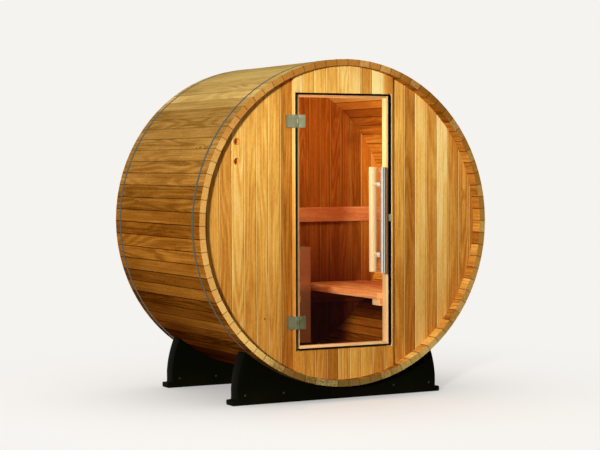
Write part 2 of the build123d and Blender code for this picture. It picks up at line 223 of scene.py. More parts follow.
class Tree:
    """A shader tree that nodes are added to."""

    def __init__(self, data):
        self.data = data

    def fill(self, made, values):
        """Links or sets a node's inputs, by name or number."""
        for key, value in values.items():
            socket = made.inputs[key]
            if isinstance(value, Value):
                self.data.links.new(value.socket, socket)
            elif socket.type == "RGBA":
                socket.default_value = (*value[:3], 1)
            else:
                socket.default_value = value

    def add(self, kind, values=(), **settings):
        made = self.data.nodes.new("ShaderNode" + kind)
        for key, value in settings.items():
            setattr(made, key, value)
        self.fill(made, dict(values))
        return made

    def value(self, kind, values=(), out=0, **settings):
        """One output of a new node."""
        return Value(self, self.add(kind, values, **settings).outputs[out])

    def values(self, kind, values=(), **settings):
        """All outputs of a new node, by name."""
        return {socket.name: Value(self, socket) for socket in self.add(kind, values, **settings).outputs}

    def coordinates(self, kind="Object"):
        return self.value("TexCoord", out=kind)

    def combine(self, along, across, through):
        return self.value("CombineXYZ", {0: along, 1: across, 2: through})

    def noise(self, vector, scale, detail, **more):
        return self.value("TexNoise", {"Vector": vector, "Scale": scale, "Detail": detail, **more})

    def mix(self, factor, a, b, blend="MIX"):
        """Two colours mixed by a factor, which is held between 0 and 1."""
        return self.value("Mix", {0: factor, 6: a, 7: b}, 2, data_type="RGBA", blend_type=blend,
                          clamp_factor=True)

    def ramp(self, factor, stops, interpolation="LINEAR"):
        """A colour ramp with (place, colour) stops."""
        made = self.add("ValToRGB", {0: factor})
        elements = made.color_ramp.elements
        made.color_ramp.interpolation = interpolation
        while len(elements) < len(stops):
            elements.new(1.0)
        for element, (place, shade) in zip(elements, stops):
            element.position = place
            element.color = (*shade[:3], 1)
        return Value(self, made.outputs[0])

    def group(self, name, values):
        """A shared node group set down in the tree; returns its outputs by name."""
        return self.values("Group", values, node_tree=shared_groups()[name])


class MaterialTree(Tree):
    """The tree of a new material, with a Principled shader joined to its output."""

    def __init__(self, name):
        self.material = bpy.data.materials.new(name)
        self.material.use_nodes = True
        super().__init__(self.material.node_tree)
        self.data.nodes.clear()
        self.shader = self.add("BsdfPrincipled")
        self.output = self.add("OutputMaterial", {"Surface": Value(self, self.shader.outputs[0])})

    def finish(self, values):
        """Fills the shader's inputs and returns the material."""
        self.fill(self.shader, values)
        return self.material

    def blend(self, factor, other):
        """Mixes another shader in before the output, and returns the material."""
        own = Value(self, self.shader.outputs[0])
        self.fill(self.output, {"Surface": self.value("MixShader", {0: factor, 1: own, 2: other})})
        return self.material


def new_group(name, inputs):
    """A node group and its inputs; a default of three numbers makes a vector, and of four a colour."""
    data = bpy.data.node_groups.new(name, "ShaderNodeTree")
    for label, default in inputs.items():
        kind = {3: "Vector", 4: "Color"}[len(default)] if isinstance(default, tuple) else "Float"
        socket = data.interface.new_socket(label, in_out="INPUT", socket_type="NodeSocket" + kind)
        socket.default_value = default
    tree = Tree(data)
    return tree, {socket.name: Value(tree, socket) for socket in data.nodes.new("NodeGroupInput").outputs}


def put_out(tree, outputs):
    """Gives a node group its outputs, and returns the group."""
    for label, value in outputs.items():
        kind = "Color" if value.socket.type == "RGBA" else "Float"
        tree.data.interface.new_socket(label, in_out="OUTPUT", socket_type="NodeSocket" + kind)
    tree.fill(tree.data.nodes.new("NodeGroupOutput"), outputs)
    return tree.data


# ---------------------------------------------------------------- groups shared by the wooden finishes
SHADE_COLOUR = (0.58, 0.48, 0.38)


def board_rows_group():
    """Number of the board at a place, its joint, and a painted highlight beside the joint where the groove's
    lit face would be.
    """
    tree, given = new_group("Board rows", {"Place": 0.0, "First Joint": 0.0, "Pitch": BOARD_PITCH})
    steps = (given["Place"] - given["First Joint"]) / given["Pitch"]
    beyond = (steps + 0.5).do("FRACT") * given["Pitch"] - given["Pitch"] * 0.5
    return put_out(tree, {
        "Board": steps.do("FLOOR"),
        "Joint": beyond.remap(-0.0034, -0.0014) * beyond.remap(0.0002, 0.0012, 1.0, 0.0),
        "Arris": beyond.remap(0.0004, 0.0016) * beyond.remap(0.0034, 0.0056, 1.0, 0.0),
    })


def stave_rows_group():
    """Number of the stave at a place, its joints, how far round the barrel it is, and the radius."""
    tree, given = new_group("Stave rows", {"Vector": (0, 0, 0)})
    place = given["Vector"].split()
    rise = place["Z"] - AXIS_HEIGHT
    around = (rise.do("ARCTAN2", place["X"]) / tau + 1.0).do("FRACT")
    steps = around * float(STAVES)
    stave = steps.do("FLOOR")
    across = steps - stave
    edge = across.do("MINIMUM", 1.0 - across) * (tau * BARREL_RADIUS / STAVES)
    return put_out(tree, {
        "Stave": stave,
        "Joint": edge.remap(0.0016, 0.0038, 1.0, 0.0, smooth=True),
        "Round": around,
        "Radius": (rise * rise + place["X"] * place["X"]).do("SQRT"),
    })


def cedar_grain_group():
    """Growth rings, fibres, mottling and knots of a board whose grain runs along the vector's X."""
    tree, given = new_group("Cedar grain", {"Vector": (0, 0, 0), "Board": 0.0})
    lot = tree.values("TexWhiteNoise", {"W": given["Board"]}, noise_dimensions="1D")
    place = given["Vector"].vector("ADD", lot["Color"].stretch((37.0, 23.0, 11.0)))

    def streaked(stretch, detail, roughness, distortion=0.0):
        """Noise drawn out along the grain, from -0.5 to 0.5."""
        more = {"Roughness": roughness, "Distortion": distortion}
        return tree.noise(place.stretch(stretch), 1.0, detail, **more) - 0.5

    knots = tree.values("TexVoronoi", {"Vector": place.stretch((2.2, 4.6, 4.6)), "Scale": 1.0})
    chosen = tree.value("SeparateColor", {0: knots["Color"]}) > 0.72
    swirl = knots["Distance"].remap(0.02, 0.16, 0.10, 0.0, smooth=True) * chosen
    rings = ((streaked((0.8, 9.0, 9.0), 1.5, 0.5, 0.15) + swirl) * 78.0).do("SINE")
    fibre = streaked((10.0, 460.0, 460.0), 2.0, 0.6)
    shift = rings * (lot["Value"] * 0.10 + 0.005)
    for part, weight in (
        (streaked((0.7, 1.5, 1.5), 1.0, 0.5), 0.28),
        (streaked((2.4, 15.0, 15.0), 3.0, 0.6), 0.34),
        (streaked((1.5, 80.0, 80.0), 2.0, 0.5), 0.34),
        (streaked((34.0, 130.0, 130.0), 3.0, 0.7), 0.30),
        (fibre, 0.12),
    ):
        shift = part * weight + shift
    return put_out(tree, {
        "Shift": shift,
        "Fibre": fibre + 0.5,
        "Knot": knots["Distance"].remap(0.014, 0.034, 1.0, 0.0, smooth=True) * chosen,
        "Lot": lot["Value"],
    })


def cedar_colour_group(name, wood, prefix):
    """Colour of cedar at a tone from 0, dark heartwood, to 1, sapwood; prefix picks the five shades."""
    shades = [getattr(wood, prefix + shade) for shade in ("darkest", "dark", "middle", "light", "palest")]
    tree, given = new_group(name, {"Tone": 0.5, "Knot": 0.0, "Joint": 0.0, "Shade": 0.0, "Silver": 0.0,
                                   "Shade Color": (*SHADE_COLOUR, 1), "Arris": 0.0})
    tint = tree.ramp(given["Tone"], [(place / 4, shade) for place, shade in enumerate(shades)])
    tint = tree.mix(given["Knot"] * 0.8, tint, wood.knot)
    tint = tree.mix(given["Joint"] * 0.9, tint, tree.mix(1.0, tint, (0.22, 0.09, 0.03), "MULTIPLY"))
    # painted highlight: pale wood along one side of each joint
    tint = tree.mix(given["Arris"] * 0.5, tint, shades[4])
    tint = tree.mix(given["Shade"], tint, tree.mix(1.0, tint, given["Shade Color"], "MULTIPLY"))
    # bleached cedar for the upper staves, partly real sun bleaching and partly a painted sheen
    bleach_and_sheen_tint = tree.mix(given["Tone"] * 0.8 - 0.1, wood.bleach_and_sheen_dark, wood.bleach_and_sheen)
    return put_out(tree, {"Color": tree.mix(given["Silver"], tint, bleach_and_sheen_tint)})


groups = {}


def shared_groups():
    """The node groups, built once."""
    if not groups:
        wood = bpy.context.scene.sauna_wood
        groups.update(
            boards=board_rows_group(), staves=stave_rows_group(), grain=cedar_grain_group(),
            oiled=cedar_colour_group("Oiled cedar", wood, ""),
            fresh=cedar_colour_group("Fresh cedar", wood, "fresh_"),
        )
    return groups


def tones_by_number(number, tones):
    """The tone of each numbered board from a list, cut up since a ramp holds no more than 32 stops."""
    tree, per_ramp, result = number.tree, 27, None
    for start in range(0, len(tones), per_ramp):
        part = tones[start:start + per_ramp]
        stops = [(step / len(part), grey(tone)) for step, tone in enumerate(part)]
        value = tree.ramp((number + (0.5 - start)) / float(len(part)), stops, "CONSTANT")
        result = value if result is None else tree.mix(number > start - 0.5, result, value)
    return result


def finish_wood(tree, tone, grain, mask, patch, joint=0.0, shade=0.0, bleach_and_sheen=0.0, joint_highlight=0.0, roughness=0.46,
                sheen=0.08, shade_colour=SHADE_COLOUR, kind="oiled"):
    """Joins tone, grain and joints up to the shader, with another colour, patch, where mask is 1."""
    tint = tree.group(kind, {
        "Tone": tone + grain["Shift"], "Knot": grain["Knot"], "Joint": joint, "Arris": joint_highlight,
        "Shade": shade, "Silver": bleach_and_sheen, "Shade Color": shade_colour,
    })["Color"]
    return tree.finish({
        "Base Color": tree.mix(mask, tint, patch),
        "Roughness": grain["Fibre"].remap(0.3, 0.7, roughness - 0.06, roughness + 0.1),
        "Specular IOR Level": sheen,
        "Normal": (grain["Fibre"] * 0.6 + grain["Shift"] * 1.2).bump(0.35, 0.0012),
    })


def along_grain(tree, order):
    """X, Y and Z by name, and a vector with the grain along X; order names the axes along, across, through."""
    place = tree.coordinates().split()
    return place, tree.combine(*(place[axis] for axis in order))


# Tones of the staves, from the right side over the top, the left side and the bottom; the near-black ones low
# on the left side partly hold painted shade.
STAVE_TONES = [
    0.5, 0.47, 0.33, 0.42, 0.36, 0.52, 0.38, 0.42, 0.36, 0.17, 0.23, 0.42, 0.42, 0.38, 0.4, 0.28,
    0.4, 0.32, 0.26, 0.38, 0.4, 0.44, 0.52, 0.51, 0.6, 0.6, 0.5, 0.53, 0.66, 0.47, 0.27, 0.26,
    0.29, 0.3, 0.34, 0.25, 0.34, 0.23, 0.2, 0.2, 0.14, 0.29, 0.31, 0.32, 0.2, 0.32, 0.11, 0.22,
    0.36, 0.27, 0.06, 0.21, 0, 0, 0.34, 0.16, 0.3, 0.18, 0.24, 0.34, 0.2, 0.28, 0.16, 0.32,
    0.24, 0.58, 0.67, 0.46, 0.71, 0.69, 0.54, 0.24, 0.55, 0.46, 0.63, 0.4, 0.51, 0.6, 0.22, 0.57,
]
# The same for the side towards the room; the dark tones of staves 66 to 71, under the right bench, are painted
# shade, and the light ones of staves 11 to 13 painted light.
ROOM_TONES = [
    0.32, 0.26, 0.4, 0.5, 0.62, 0.61, 0.58, 0.6, 0.36, 0.36, 0.34, 0.77, 0.97, 0.95, 0.7, 0.42,
    *[0.55, 0.48, 0.62, 0.5, 0.42] * 9, 0.55, 0.16, 0.32,
    0.24, 0.38, 0.1, 0.15, 0.3, 0.25, 0.05, 0, 0.66, 0.52, 0.6, 0.5, 0.32, 0.42, 0.26, 0.38,
]
# Colour of the staves' end grain round the front rim: place round the barrel, screen colour.
RIM_COLOURS = [
    (0.0, (168, 118, 48)), (0.083, (157, 100, 34)), (0.125, (140, 90, 28)), (0.167, (150, 92, 30)),
    (0.208, (186, 126, 53)), (0.29, (178, 116, 44)), (0.35, (192, 132, 56)), (0.395, (193, 128, 55)),
    (0.417, (208, 152, 75)), (0.5, (204, 149, 73)), (0.555, (212, 158, 84)), (0.617, (224, 178, 98)),
    (0.647, (196, 155, 78)), (0.667, (132, 94, 42)), (0.72, (94, 72, 28)), (0.764, (118, 97, 48)),
    (0.79, (116, 88, 38)), (0.825, (166, 134, 66)), (0.856, (192, 153, 84)), (0.89, (156, 110, 45)),
    (0.944, (180, 128, 60)), (0.97, (172, 125, 52)),
]


def stave_material(wood):
    """Staves: each has its own tone, with pale or dark end grain at the rims."""
    tree = MaterialTree("stave_cedar")
    coordinates = tree.coordinates()
    rows = tree.group("staves", {"Vector": coordinates})
    place = coordinates.split()
    along, height, joint = place["Y"], place["Z"], rows["Joint"]
    turned = tree.combine(along, rows["Round"] * (tau * BARREL_RADIUS), rows["Radius"])
    grain = tree.group("grain", {"Vector": turned, "Board": rows["Stave"] + 100.0})
    outside = rows["Radius"] > MID_STAVE_RADIUS
    in_room = (rows["Radius"] < MID_STAVE_RADIUS) * (abs(along) < ROOM_END)
    tone = tree.mix(in_room, tones_by_number(rows["Stave"], STAVE_TONES),
                    tones_by_number(rows["Stave"], ROOM_TONES))
    # end grain: short arcs across the thickness
    rim = tree.ramp(rows["Round"], [(spot, srgb(*shade)) for spot, shade in RIM_COLOURS])
    speck = tree.noise(turned.stretch((1.0, 90.0, 160.0)), 1.0, 3.0)
    lift = (grain["Lot"] - 0.5) * 0.34 + (speck - 0.5) * 0.7
    rim = tree.mix(lift, rim, wood.palest)
    rim = tree.mix(lift * -1.0, rim, wood.darkest)
    rim = tree.mix(joint * 0.6, rim, wood.knot)
    # the upper staves are mixed towards bleached cedar, partly real sun bleaching and partly a painted sheen
    # of sky light
    bleach_and_sheen = height.remap(AXIS_HEIGHT - 0.05 * BARREL_RADIUS, AXIS_HEIGHT + 0.95 * BARREL_RADIUS, 0.0, 0.85)
    # painted shade: the lower outer staves darken, more so towards the rear, and the room side darkens just
    # below the benches
    depth = height.remap(AXIS_HEIGHT - 0.1, AXIS_HEIGHT - 0.85 * BARREL_RADIUS)
    rearward = along.remap(-END_FACE, 0.3, 0.45, 1.0)
    under_bench_shade = height.remap(0.34, 0.44) * (height < 0.57)
    shade = (depth * rearward * outside).do("MAXIMUM", under_bench_shade * in_room)
    return finish_wood(tree, tone, grain, abs(along) > END_FACE - 0.0004, rim, joint, shade, bleach_and_sheen * outside,
                       sheen=0.0, shade_colour=(0.36, 0.2, 0.1))


def wall_material(name, first_joint, first_board, tones, lot, foot=0.0):
    """Upright boards beside each other; tones run from board number first_board to the right.

    Foot is how dark the side towards the room is painted below the benches, as painted shade.
    """
    tree = MaterialTree(name)
    place, turned = along_grain(tree, "ZXY")
    rows = tree.group("boards", {"Place": place["X"], "First Joint": first_joint, "Pitch": BOARD_PITCH})
    joint = rows["Joint"]
    grain = tree.group("grain", {"Vector": turned, "Board": rows["Board"] + lot})
    tone = tones_by_number(rows["Board"] - float(first_board), tones)
    # painted shade: the boards darken towards the bottom
    shade = place["Z"].remap(AXIS_HEIGHT + 0.55, AXIS_HEIGHT - 0.45, 0.0, 0.85)
    # painted shade on the side towards the room, below the benches
    low = place["Z"].remap(1.0, 0.5, 0.0, foot) * (place["Y"] < ROOM_END)
    foot_shade = tree.group("oiled", {"Tone": tone + grain["Shift"], "Joint": joint, "Shade": 1.0,
                                "Shade Color": (0.2, 0.05, 0.02)})["Color"]
    return finish_wood(tree, tone, grain, low, foot_shade, joint, shade, joint_highlight=rows["Arris"], sheen=0.02)


def plank_material(name, order, tone, lot, end_lift=0.12):
    """Separate planks, whose grain runs along the first axis named in order."""
    tree = MaterialTree(name)
    place, turned = along_grain(tree, order)
    rows = tree.group("boards", {"Place": place[order[1]], "First Joint": 0.245, "Pitch": 0.101})
    grain = tree.group("grain", {"Vector": turned, "Board": rows["Board"] + lot})
    own = (grain["Lot"] - 0.5) * 0.16 + tone
    end_mask = abs(tree.coordinates("Normal").split()[order[0]]) > 0.8
    end_tint = tree.group("fresh", {"Tone": own + end_lift})["Color"]
    return finish_wood(tree, own, grain, end_mask, end_tint, roughness=0.44, kind="fresh")


def post_material(name, top, bottom, inward):
    """A post whose tone rises from the bottom to the top as painted light, lightest on the left post where it
    paints a highlight, with pale wood on the side towards the opening.
    """
    tree = MaterialTree(name)
    place, turned = along_grain(tree, "ZXY")
    grain = tree.group("grain", {"Vector": turned, "Board": 131.0 + inward})
    # painted light: the post grows lighter towards the top
    tone = place["Z"].remap(AXIS_HEIGHT - 0.75, AXIS_HEIGHT + 0.4, bottom, top)
    inner_side = tree.coordinates("Normal").split()["X"] * float(inward) > 0.7
    rebate = (abs(place["X"]) < 0.2935) * (place["Y"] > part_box("door_head")[0].y - 0.0015)
    pale = tree.group("fresh", {"Tone": grain["Shift"] + 0.96})["Color"]
    return finish_wood(tree, tone, grain, inner_side.do("MAXIMUM", rebate), pale, roughness=0.44)


def rod_material(tint):
    """Smooth pale wood of the turned bar."""
    tree = MaterialTree("handle_wood")
    grain = tree.group("grain", {"Vector": along_grain(tree, "ZXY")[1], "Board": 201.0})
    return tree.finish({
        "Base Color": tree.mix(grain["Shift"].remap(-0.25, 0.25), scaled(tint, 0.78), tint),
        "Roughness": 0.38,
        "Normal": grain["Fibre"].bump(0.15, 0.0005),
    })


# ---------------------------------------------------------------- other finishes
def brushed_material(name, tint, roughness, along="X", metallic=1.0, tarnish=0.0):
    """Steel with fine brush marks along one axis, and darker towards the ground where it has tarnished."""
    tree = MaterialTree(name)
    coordinates = tree.coordinates()
    marks = tree.noise(coordinates.stretch([12.0 if axis == along else 900.0 for axis in "XYZ"]), 1.0, 2.0)
    stain = tree.noise(coordinates, 14.0, 3.0)
    base = tree.mix(stain.remap(0.35, 0.65), scaled(tint, 0.78), tint)
    return tree.finish({
        "Base Color": tree.mix(coordinates.split()["Z"].remap(1.3, 0.3, 0.0, tarnish), base,
                               (0.06, 0.055, 0.015)),
        "Metallic": metallic,
        "Roughness": marks.remap(0.3, 0.7, roughness - 0.07, roughness + 0.09),
        "Normal": marks.bump(0.12, 0.0003),
    })


def chrome_material(tint):
    """Polished steel, faintly smeared."""
    tree = MaterialTree("polished_steel")
    smears = tree.noise(tree.coordinates(), 30.0, 3.0)
    return tree.finish({
        "Base Color": tree.mix(smears.remap(0.4, 0.7), tint, scaled(tint, 0.9)),
        "Metallic": 0.86,
        "Roughness": smears.remap(0.35, 0.7, 0.03, 0.08),
    })


def stove_material(tint):
    """Polished sheet with faint waves in it."""
    tree = MaterialTree("stove_sheet")
    coordinates = tree.coordinates()
    marks = tree.noise(coordinates.stretch((8.0, 8.0, 500.0)), 1.0, 2.0)
    return tree.finish({
        "Base Color": tree.mix(marks.remap(0.3, 0.7), tint, scaled(tint, 0.86)),
        "Metallic": 0.3,
        "Roughness": marks.remap(0.3, 0.7, 0.1, 0.18),
        "Normal": tree.noise(coordinates, 6.0, 1.0).bump(0.25, 0.01),
    })


def stone_material(tint):
    """Rough grey stone with lighter grains."""
    tree = MaterialTree("stove_stone")
    coordinates = tree.coordinates()
    lumps = tree.noise(coordinates, 38.0, 5.0, Roughness=0.65)
    grains = tree.value("TexVoronoi", {"Vector": coordinates, "Scale": 260.0}, "Distance")
    base = tree.mix(lumps.remap(0.35, 0.68), scaled(tint, 0.45), scaled(tint, 1.35))
    return tree.finish({
        "Base Color": tree.mix(grains.remap(0.0, 0.5, 0.4, 0.0), base, srgb(190, 186, 176)),
        "Roughness": 0.88,
        "Normal": lumps.bump(0.6, 0.004),
    })


def rubber_material(tint):
    """Black rubber with a little dust."""
    tree = MaterialTree("black_rubber")
    grain = tree.noise(tree.coordinates(), 420.0, 2.0)
    dust = tree.noise(tree.coordinates(), 9.0, 3.0)
    return tree.finish({
        "Base Color": tree.mix(dust.remap(0.45, 0.75, 0.0, 0.5), tint, scaled(tint, 2.4)),
        "Roughness": grain.remap(0.3, 0.7, 0.5, 0.66),
        "Specular IOR Level": 0.1,
        "Normal": grain.bump(0.2, 0.0004),
    })


def cradle_material(tint):
    """Black paint over a faintly uneven board, dusty near the ground."""
    tree = MaterialTree("black_cradle")
    coordinates = tree.coordinates()
    patches = tree.noise(coordinates, 5.0, 4.0)
    dusty = coordinates.split()["Z"].remap(0.0, 0.16, 0.8, 0.0) * patches.remap(0.35, 0.7)
    return tree.finish({
        "Base Color": tree.mix(dusty, tint, scaled(tint, 2.2)),
        "Roughness": patches.remap(0.3, 0.7, 0.5, 0.66),
        "Specular IOR Level": 0.015,
        "Normal": tree.noise(coordinates, 160.0, 2.0).bump(0.15, 0.0006),
    })


def glass_material(tint):
    """Bronze glass that also lets the lamps' light into the room."""
    tree = MaterialTree("bronze_glass")
    tree.finish({"Base Color": tint, "Metallic": 0.0, "Roughness": 0.0, "IOR": 1.45, "Specular IOR Level": 0.3,
                 "Transmission Weight": 1.0})
    ray = tree.values("LightPath")
    return tree.blend(ray["Is Shadow Ray"].do("MAXIMUM", ray["Is Diffuse Ray"]),
                      tree.value("BsdfTransparent", {"Color": tint}))


# ---------------------------------------------------------------- mesh helpers
def assign(names, material):
    """Gives CAD nodes their finish."""
    for name in names:
        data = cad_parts[name].data
        data.materials.clear()
        data.materials.append(material)


def piece(name, bm, material, body="cabin", smooth_angle=35):
    """Turns a bmesh into a finished object that rides on a body."""
    bmesh.ops.recalc_face_normals(bm, faces=bm.faces)
    for face in bm.faces:
        face.smooth = True
    for edge in bm.edges:
        edge.smooth = len(edge.link_faces) == 2 and edge.calc_face_angle() < radians(smooth_angle)
    data = bpy.data.meshes.new(name)
    bm.to_mesh(data)
    bm.free()
    made = bpy.data.objects.new(name, data)
    bpy.context.scene.collection.objects.link(made)
    data.materials.append(material)
    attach(made, body)
    return made


def rounded(bm, edges, width, segments=2):
    """Bevels edges with the tool's usual shape."""
    bmesh.ops.bevel(bm, geom=list(edges), offset=width, offset_type="OFFSET", affect="EDGES",
                    segments=segments, profile=0.5, material=-1, clamp_overlap=True)


def sharp_edges(bm, degrees=30):
    return [edge for edge in bm.edges
            if len(edge.link_faces) == 2 and edge.calc_face_angle() > radians(degrees)]


def softened(node_name, width, material, body="cabin", segments=2, moved=()):
    """A CAD piece's shape with its sharp edges rounded, in place of the CAD piece.

    Each entry of moved is an axis, a place on it, and where the corners there go instead.
    """
    bm = bmesh.new()
    bm.from_mesh(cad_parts[node_name].data)
    bmesh.ops.remove_doubles(bm, verts=bm.verts, dist=0.00002)
    for axis, old, new in moved:
        for vertex in bm.verts:
            if abs(vertex.co[axis] - old) < 0.0004:
                vertex.co[axis] = new
    bmesh.ops.dissolve_limit(bm, angle_limit=radians(0.5), verts=bm.verts, edges=bm.edges)
    rounded(bm, sharp_edges(bm), width, segments)
    made = piece(node_name + "_rounded", bm, material, body)
    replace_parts(made, node_name)


def add_box(bm, low, high):
    """A box between two corners; returns its vertices."""
    low, high = Vector(low), Vector(high)
    made = bmesh.ops.create_cube(bm, size=1.0)["verts"]
    bmesh.ops.scale(bm, vec=high - low, verts=made)
    bmesh.ops.translate(bm, vec=(low + high) / 2, verts=made)
    return made


def add_round(bm, radius, start, end, segments):
    """A closed cylinder between two points; returns its vertices."""
    start, end = Vector(start), Vector(end)
    turn = (end - start).to_track_quat("Z", "Y").to_matrix().to_4x4()
    return bmesh.ops.create_cone(bm, cap_ends=True, segments=segments, radius1=radius, radius2=radius,
                                 depth=(end - start).length,
                                 matrix=Matrix.Translation((start + end) / 2) @ turn)["verts"]


def edges_of(vertices):
    """The edges at the vertices, each once and in the same order on every run."""
    return list(dict.fromkeys(edge for vertex in vertices for edge in vertex.link_edges))


def level_caps(bm):
    """The flat top and bottom."""
    return [face for face in bm.faces if abs(face.normal.z) > 0.9]


def add_screw(bm, place, outward, radius, height=0.0012):
    """A low round screw head with a socket sunk in it, half as wide."""
    place, outward = Vector(place), Vector(outward)
    head = add_round(bm, radius, place, place + outward * height, 24)
    crown = max((face for vertex in head for face in vertex.link_faces),
                key=lambda face: face.calc_center_median().dot(outward))
    rounded(bm, crown.edges, height * 0.45)
    head_faces = [face for face in bm.faces if (face.calc_center_median() - place).length < radius * 1.6]
    crown = max(head_faces, key=lambda face: (round(face.calc_center_median().dot(outward), 6),
                                              face.calc_area()))
    bmesh.ops.inset_individual(bm, faces=[crown], thickness=radius * 0.5, depth=0)
    pushed = bmesh.ops.extrude_discrete_faces(bm, faces=[crown])["faces"][0]
    bmesh.ops.translate(bm, vec=-outward * height * 0.6, verts=pushed.verts)


# ---------------------------------------------------------------- operators
class SAUNA_OT_barrel(bpy.types.Operator):
    """Oiled cedar on the staves and the two end walls"""
    bl_idname = "sauna.barrel"
    bl_label = "Staves and walls"

    def execute(self, context):
        assign(stave_nodes, stave_material(context.scene.sauna_wood))
        walls = {
            "left": (LEFT_JOINT, -8, [0.5, 0.59, 0.49, 0.79, 0.63, 0.7, 0.66, 0.4], 11.0),
            "right": (RIGHT_JOINT, -1, [0.66, 0.6, 0.4, 0.82, 0.57, 0.82, 0.59, 0.56, 0.46], 31.0),
            "over_door": (DOOR_JOINT, -5, [0.94, 0.67, 0.77, 0.64, 0.74, 0.82, 0.51, 1, 0.66], 51.0),
            "under_door": (DOOR_JOINT, -5, [0.6, 0.55, 0.59, 0.31, 0.6, 0.73, 0.63, 0.61, 0.64], 71.0),
        }
        for name, wall in walls.items():
            assign(["front_wall_" + name], wall_material("front_wall_" + name + "_cedar", *wall))
        draw = random.Random(5)
        back_tones = [round(draw.uniform(0.4, 0.75), 2) for _ in range(21)]
        back_tones += [0.42, 0.45, 0.45, 0.48, 0.48, 0.27, 0.46, 0.64]
        # painted shade: the two boards seen through the vent holes are made dark
        back_tones[14:16] = [0.3, 0.12]
        assign(["back_wall_left", "back_wall_middle", "back_wall_right"],
               wall_material("back_wall_cedar", 9 * BOARD_PITCH / 2, -22, back_tones, 91.0, foot=0.84))
        return {"FINISHED"}


class SAUNA_OT_door_frame(bpy.types.Operator):
    """Posts, head and sill of the door frame"""
    bl_idname = "sauna.door_frame"
    bl_label = "Door frame"

    def execute(self, context):
        level = plank_material("frame_cedar_level", "XZY", 0.9, 141.0)
        head_foot, sill_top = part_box("door_head")[0].z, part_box("door_sill")[1].z
        for name, material, moved in (
            # the left post's light top is a painted highlight
            ("door_post_left", post_material("left_post_cedar", 0.84, 0.42, 1), ()),
            ("door_post_right", post_material("right_post_cedar", 0.5, 0.42, -1), ()),
            ("door_head", level, [(2, head_foot, head_foot + 0.0105)]),
            ("door_sill", level, [(2, sill_top, sill_top - 0.013)]),
        ):
            softened(name, 0.0012, material, moved=moved)
        self.stop_strip(rubber_material(context.scene.sauna_fittings.rubber))
        return {"FINISHED"}

    def stop_strip(self, rubber):
        """Black strip round the rebate that the door closes against, pressed flat onto the frame's face."""
        margin, width, thickness, play = 0.0092, 0.0105, 0.0044, 0.0004
        left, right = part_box("door_post_left")[0].x + margin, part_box("door_post_right")[1].x - margin
        foot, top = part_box("door_sill")[0].z + play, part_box("door_head")[1].z - play
        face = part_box("door_head")[0].y - 0.0001
        bm = bmesh.new()
        bmesh.ops.create_grid(bm, x_segments=1, y_segments=1, size=0.5)
        bmesh.ops.rotate(bm, cent=(0, 0, 0), matrix=Matrix.Rotation(radians(90), 3, "X"), verts=bm.verts)
        bmesh.ops.scale(bm, vec=(right - left, 1, top - foot), verts=bm.verts)
        bmesh.ops.translate(bm, vec=((left + right) / 2, face, (top + foot) / 2), verts=bm.verts)
        bmesh.ops.inset_region(bm, faces=bm.faces[:], thickness=0.01, use_boundary=True, use_even_offset=True)
        inner = [vertex for vertex in bm.verts if left + 0.005 < vertex.co.x < right - 0.005]
        middle = [face for face in bm.faces if all(vertex in inner for vertex in face.verts)]
        bmesh.ops.delete(bm, geom=middle, context="FACES_ONLY")
        for vertex in inner:
            vertex.co.x = left + 0.008 if vertex.co.x < 0 else right - 0.017
            vertex.co.z = foot + width if vertex.co.z < AXIS_HEIGHT else top - width
        bmesh.ops.solidify(bm, geom=bm.faces[:], thickness=thickness)
        for vertex in bm.verts:
            vertex.co.y = min(vertex.co.y, face)
        piece("door_stop_strip", bm, rubber)


class SAUNA_OT_benches(bpy.types.Operator):
    """Bench slats with rounded edges, their ledgers and the backrest rails"""
    bl_idname = "sauna.benches"
    bl_label = "Benches"

    def execute(self, context):
        slats = plank_material("bench_slat_wood", "YXZ", 0.62, 151.0)
        rails = plank_material("bench_rail_wood", "XZY", 0.60, 171.0)
        # end grain lighter; on the front ledgers lifted further as a painted highlight of light through the
        # door
        front = plank_material("bench_front_ledger_wood", "XZY", 0.62, 181.0, end_lift=0.38)
        # painted shade: the back ledgers, under the benches, are dark
        back = plank_material("bench_back_ledger_wood", "XZY", 0.12, 191.0)
        for side in ("left", "right"):
            softened("bench_" + side, 0.004, slats, segments=3)
            for name, material in (("bench_front_ledger_", front), ("bench_back_ledger_", back),
                                   ("backrest_rail_", rails)):
                softened(name + side, 0.003, material)
        return {"FINISHED"}


class SAUNA_OT_hoops(bpy.types.Operator):
    """Weathered steel bands"""
    bl_idname = "sauna.hoops"
    bl_label = "Hoops"

    def execute(self, context):
        tint = context.scene.sauna_fittings.hoop
        assign(["front_hoop", "rear_hoop"], brushed_material("hoop_steel", tint, 0.5, "Y", 0.6, 0.8))
        return {"FINISHED"}


class SAUNA_OT_cradles(bpy.types.Operator):
    """Black cradles with eased edges and their bolts"""
    bl_idname = "sauna.cradles"
    bl_label = "Cradles"

    def execute(self, context):
        fittings = context.scene.sauna_fittings
        paint = cradle_material(fittings.cradle)
        steel = brushed_material("bolt_steel", srgb(60, 60, 52), 0.5, metallic=0.5)
        for name in ("front_cradle", "rear_cradle"):
            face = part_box(name)[0].y
            softened(name, 0.006, paint, segments=3)
            bm = bmesh.new()
            for x in (-0.594, -0.356, 0.356, 0.594):
                add_screw(bm, (x, face, 0.055), (0, -1, 0), fittings.bolt_radius, 0.003)
            piece(name + "_bolts", bm, steel)
        return {"FINISHED"}


